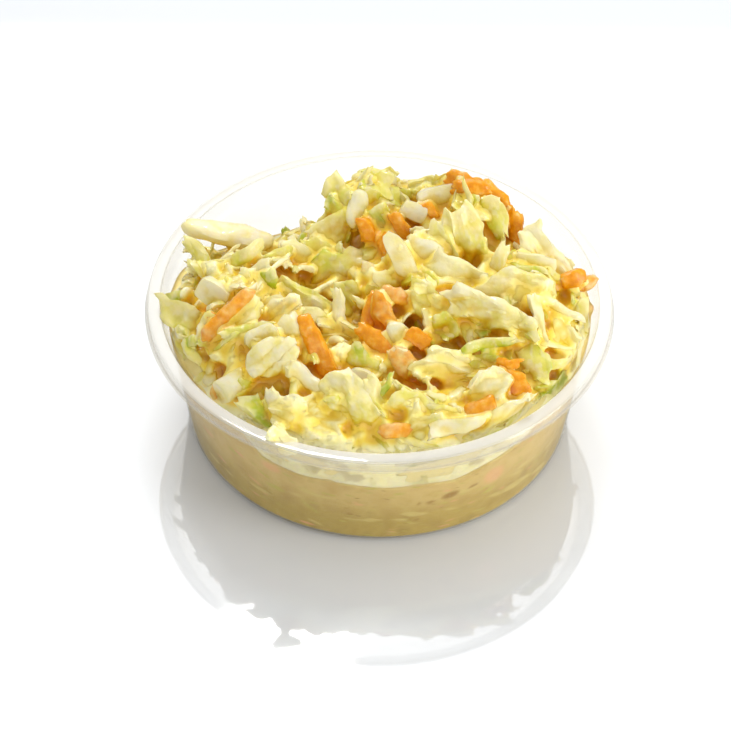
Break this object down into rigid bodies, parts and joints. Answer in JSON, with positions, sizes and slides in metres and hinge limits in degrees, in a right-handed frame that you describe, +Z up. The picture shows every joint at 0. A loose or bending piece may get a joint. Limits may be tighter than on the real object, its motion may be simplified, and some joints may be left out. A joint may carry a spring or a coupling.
{
  "type": "coleslaw in a clear plastic deli cup",
  "caption": "Shallow round clear plastic cup with a rolled flat rim, heaped above the rim with creamy chopped cabbage and carrot coleslaw.",
  "frame": {"origin": "on the cup's axis, in the plane of the foot ring that it stands on", "axes": "+Z up out of the mouth of the cup, -Y towards the front, +X to the right"},
  "size_m": [0.117, 0.117, 0.057],
  "materials": {
    "cup": "clear moulded polypropylene, smooth and glossy, faintly hazy at the rim",
    "coleslaw": "moist chopped cabbage and carrot in pale cream dressing, soft gloss"
  },
  "bodies": {
    "root": {"cup": "cup", "coleslaw": "coleslaw"}
  },
  "joints": []
}
